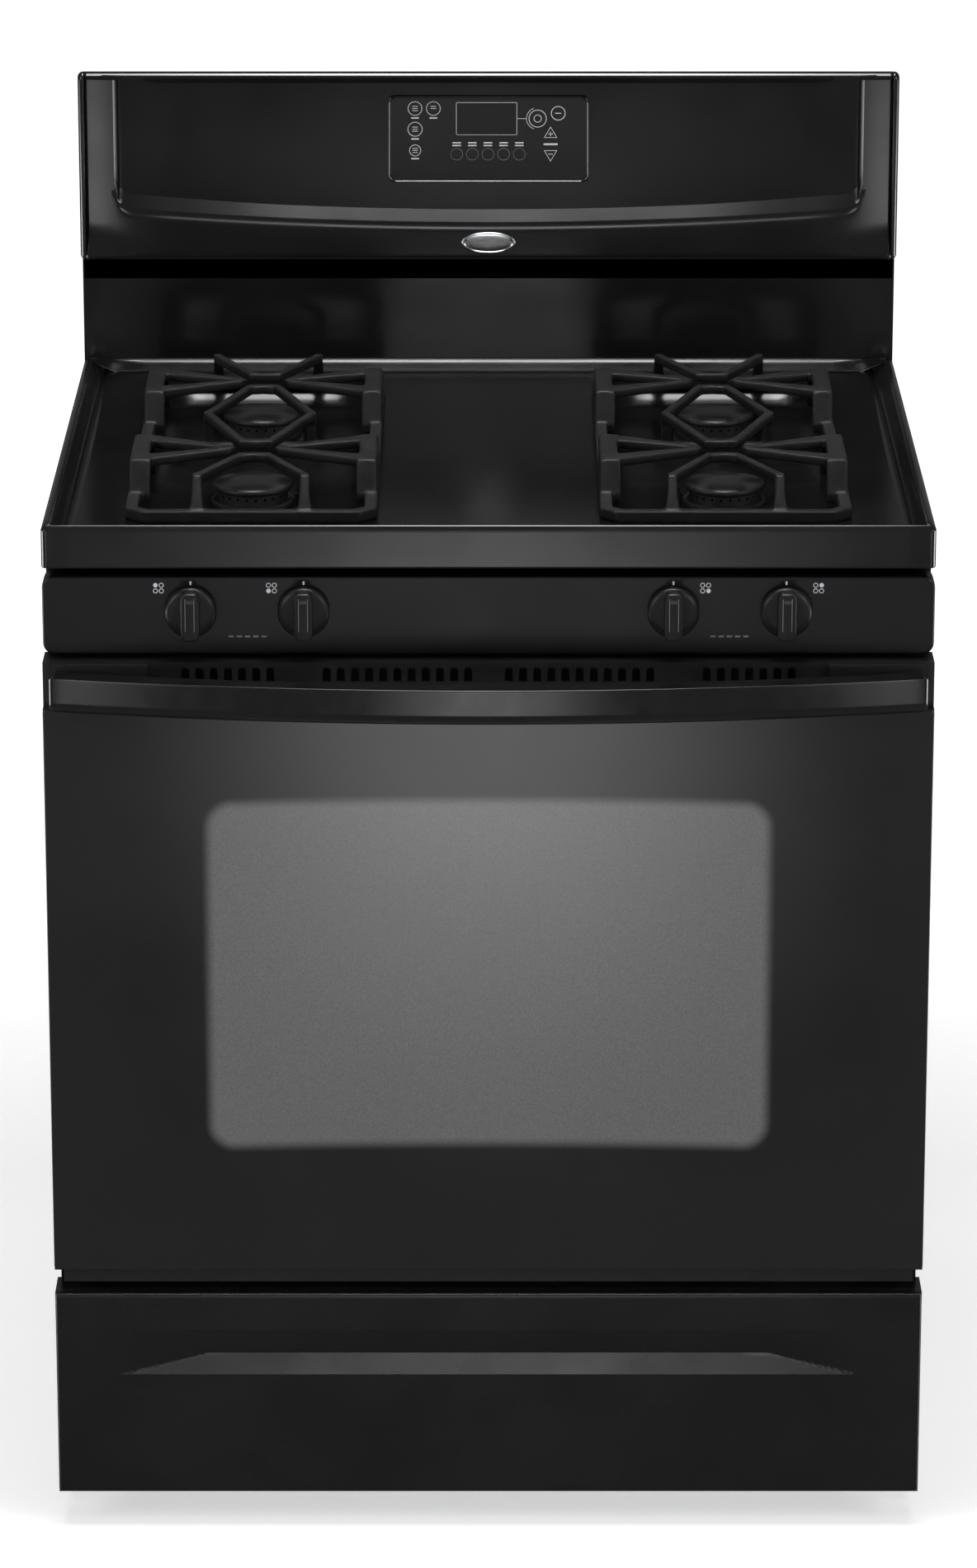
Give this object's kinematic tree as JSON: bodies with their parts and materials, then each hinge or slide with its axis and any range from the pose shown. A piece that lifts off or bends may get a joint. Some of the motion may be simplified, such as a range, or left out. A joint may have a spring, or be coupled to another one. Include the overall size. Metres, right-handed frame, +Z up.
{
  "type": "freestanding gas range",
  "caption": "Black freestanding gas range with a sealed-burner cooktop, double cast grates, windowed oven door with bowed handle, storage drawer and rear console.",
  "frame": {"origin": "on the floor, below the centre of the range's bounding box", "axes": "+Z up, -Y towards the front (door side), +X to the right seen from the front"},
  "size_m": [0.759, 0.7179, 1.191],
  "materials": {
    "black_enamel": "glossy porcelain enamel",
    "side_paint": "semi-gloss paint",
    "valve_panel_enamel": "satin enamel",
    "zinc_steel": "galvanised sheet",
    "fastener_steel": "zinc plated",
    "cavity_enamel": "speckled porcelain enamel",
    "glass_wool": "loose fibre blanket",
    "burner_steel": "heat-darkened steel",
    "spark_ceramic": "unglazed ceramic",
    "lamp_glass": "clear pressed glass",
    "gasket_weave": "woven glass fibre sleeve",
    "gas_pipe": "drawn steel tube",
    "regulator_metal": "die cast",
    "valve_brass": "machined",
    "burner_aluminium": "sand cast",
    "console_plastic": "glossy moulded plastic",
    "overlay_film": "printed film, satin",
    "circuit_board": "solder mask",
    "badge_silver": "bright plated, blank",
    "bushing_rubber": "moulded rubber",
    "door_outer_glass": "black back-printed glass",
    "door_inner_panes": "clear coated glass",
    "door_frame_paint": "satin paint",
    "handle_plastic": "glossy moulded plastic",
    "rack_chrome": "nickel-chrome wire",
    "grate_iron": "matte enamelled casting",
    "cap_enamel": "matte enamel",
    "knob_plastic": "satin moulded plastic",
    "leg_plastic": "moulded"
  },
  "bodies": {
    "body": {"side_panel_left": "side_paint", "side_panel_right": "side_paint", "rear_panel": "zinc_steel", "base_frame": "zinc_steel", "oven_liner": "cavity_enamel", "oven_insulation": "glass_wool", "oven_floor": "cavity_enamel", "bake_burner": "burner_steel", "broil_burner": "burner_steel", "oven_igniters": "spark_ceramic", "temperature_probe": "burner_steel", "oven_lamp": "lamp_glass", "door_gasket": "gasket_weave", "hinge_arms": "zinc_steel", "gas_manifold": "gas_pipe", "pressure_regulator": "regulator_metal", "burner_valves": "valve_brass", "burner_bases": "burner_aluminium", "spark_electrodes": "spark_ceramic", "cooktop": "black_enamel", "valve_panel": "valve_panel_enamel", "backguard_panel": "black_enamel", "console_fascia": "console_plastic", "console_end_caps": "console_plastic", "backguard_cover": "zinc_steel", "control_overlay": "overlay_film", "control_board": "circuit_board", "badge": "badge_silver", "cord_gland": "bushing_rubber", "fasteners": "fastener_steel"},
    "oven_door": {"door_glass": "door_outer_glass", "door_frame": "door_frame_paint", "door_liner": "cavity_enamel", "door_inner_glass": "door_inner_panes", "door_insulation": "glass_wool", "door_handle": "handle_plastic", "door_vent_trim": "black_enamel", "door_hinges": "zinc_steel"},
    "drawer": {"drawer_front": "black_enamel", "drawer_tray": "zinc_steel"},
    "stem_rear_left": {"valve_stem_rear_left": "valve_brass"},
    "knob_rear_left": {"knob_rear_left": "knob_plastic"},
    "stem_front_left": {"valve_stem_front_left": "valve_brass"},
    "knob_front_left": {"knob_front_left": "knob_plastic"},
    "stem_front_right": {"valve_stem_front_right": "valve_brass"},
    "knob_front_right": {"knob_front_right": "knob_plastic"},
    "stem_rear_right": {"valve_stem_rear_right": "valve_brass"},
    "knob_rear_right": {"knob_rear_right": "knob_plastic"},
    "cap_front_left": {"burner_cap_front_left": "cap_enamel"},
    "cap_front_right": {"burner_cap_front_right": "cap_enamel"},
    "cap_rear_left": {"burner_cap_rear_left": "cap_enamel"},
    "cap_rear_right": {"burner_cap_rear_right": "cap_enamel"},
    "grate_left": {"grate_left": "grate_iron"},
    "grate_right": {"grate_right": "grate_iron"},
    "rack_lower": {"rack_lower": "rack_chrome"},
    "rack_upper": {"rack_upper": "rack_chrome"},
    "leg_front_left": {"leg_front_left": "leg_plastic"},
    "leg_front_right": {"leg_front_right": "leg_plastic"},
    "leg_rear_left": {"leg_rear_left": "leg_plastic"},
    "leg_rear_right": {"leg_rear_right": "leg_plastic"}
  },
  "joints": [
    {"name": "oven_door_hinge", "type": "hinge", "parent": "body", "child": "oven_door", "pos_m": [0, -0.28, 0.263], "axis": [1, 0, 0], "range_deg": [0, 90], "stiffness_Nm_per_rad": 22, "springref_deg": -6.88},
    {"name": "drawer_slide", "type": "slide", "parent": "body", "child": "drawer", "axis": [0, -1, 0], "range_m": [0, 0.4]},
    {"name": "turn_rear_left", "type": "hinge", "parent": "body", "child": "stem_rear_left", "pos_m": [-0.253, -0.281, 0.839], "axis": [0, -1, 0], "range_deg": [0, 270]},
    {"name": "push_rear_left", "type": "slide", "parent": "stem_rear_left", "child": "knob_rear_left", "axis": [0, 1, 0], "range_m": [0, 0.003], "stiffness_N_per_m": 600, "springref_m": -0.002},
    {"name": "turn_front_left", "type": "hinge", "parent": "body", "child": "stem_front_left", "pos_m": [-0.157, -0.281, 0.839], "axis": [0, -1, 0], "range_deg": [0, 270]},
    {"name": "push_front_left", "type": "slide", "parent": "stem_front_left", "child": "knob_front_left", "axis": [0, 1, 0], "range_m": [0, 0.003], "stiffness_N_per_m": 600, "springref_m": -0.002},
    {"name": "turn_front_right", "type": "hinge", "parent": "body", "child": "stem_front_right", "pos_m": [0.157, -0.281, 0.839], "axis": [0, -1, 0], "range_deg": [0, 270]},
    {"name": "push_front_right", "type": "slide", "parent": "stem_front_right", "child": "knob_front_right", "axis": [0, 1, 0], "range_m": [0, 0.003], "stiffness_N_per_m": 600, "springref_m": -0.002},
    {"name": "turn_rear_right", "type": "hinge", "parent": "body", "child": "stem_rear_right", "pos_m": [0.253, -0.281, 0.839], "axis": [0, -1, 0], "range_deg": [0, 270]},
    {"name": "push_rear_right", "type": "slide", "parent": "stem_rear_right", "child": "knob_rear_right", "axis": [0, 1, 0], "range_m": [0, 0.003], "stiffness_N_per_m": 600, "springref_m": -0.002},
    {"name": "lift_cap_front_left", "type": "slide", "parent": "body", "child": "cap_front_left", "axis": [0, 0, 1], "range_m": [0, 0.012]},
    {"name": "lift_cap_front_right", "type": "slide", "parent": "body", "child": "cap_front_right", "axis": [0, 0, 1], "range_m": [0, 0.012]},
    {"name": "lift_cap_rear_left", "type": "slide", "parent": "body", "child": "cap_rear_left", "axis": [0, 0, 1], "range_m": [0, 0.012]},
    {"name": "lift_cap_rear_right", "type": "slide", "parent": "body", "child": "cap_rear_right", "axis": [0, 0, 1], "range_m": [0, 0.012]},
    {"name": "lift_grate_left", "type": "slide", "parent": "body", "child": "grate_left", "axis": [0, 0, 1], "range_m": [0, 0.25]},
    {"name": "lift_grate_right", "type": "slide", "parent": "body", "child": "grate_right", "axis": [0, 0, 1], "range_m": [0, 0.25]},
    {"name": "slide_rack_lower", "type": "slide", "parent": "body", "child": "rack_lower", "axis": [0, -1, 0], "range_m": [0, 0.008]},
    {"name": "slide_rack_upper", "type": "slide", "parent": "body", "child": "rack_upper", "axis": [0, -1, 0], "range_m": [0, 0.008]},
    {"name": "turn_leg_front_left", "type": "hinge", "parent": "body", "child": "leg_front_left", "pos_m": [-0.345, -0.2, 0], "axis": [0, 0, 1], "continuous": true},
    {"name": "turn_leg_front_right", "type": "hinge", "parent": "body", "child": "leg_front_right", "pos_m": [0.345, -0.2, 0], "axis": [0, 0, 1], "continuous": true},
    {"name": "turn_leg_rear_left", "type": "hinge", "parent": "body", "child": "leg_rear_left", "pos_m": [-0.345, 0.3, 0], "axis": [0, 0, 1], "continuous": true},
    {"name": "turn_leg_rear_right", "type": "hinge", "parent": "body", "child": "leg_rear_right", "pos_m": [0.345, 0.3, 0], "axis": [0, 0, 1], "continuous": true}
  ]
}
